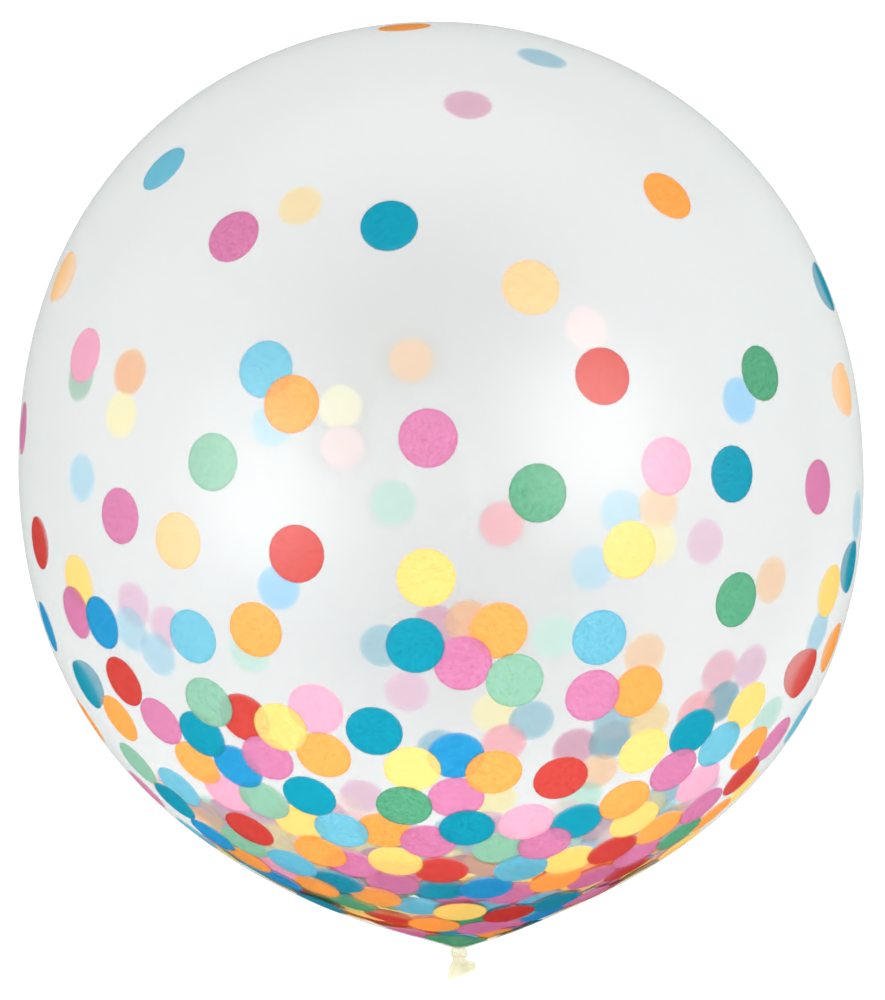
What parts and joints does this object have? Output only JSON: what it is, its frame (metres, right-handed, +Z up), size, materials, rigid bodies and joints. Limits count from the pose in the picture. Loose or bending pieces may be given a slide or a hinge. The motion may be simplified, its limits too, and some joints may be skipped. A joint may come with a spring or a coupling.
{
  "type": "confetti balloon",
  "caption": "Large round clear latex balloon, blown up and knotted, with loose paper confetti discs sealed inside. It lies on a small flat spot.",
  "frame": {"origin": "centre of the flat spot that the balloon lies on, straight under its widest ring", "axes": "+Y along the balloon from its neck to its crown, +Z up from the flat spot"},
  "size_m": [0.61, 0.6943, 0.6081],
  "materials": {
    "latex": "clear natural latex blown thin, slightly milky, with a satin shine; cream where it is unstretched at the knot and tail",
    "tissue_paper": "matt dyed tissue paper, cut in discs of blue, teal, green, yellow, orange, red and pink"
  },
  "bodies": {
    "root": {"balloon": "latex"}
  },
  "joints": []
}
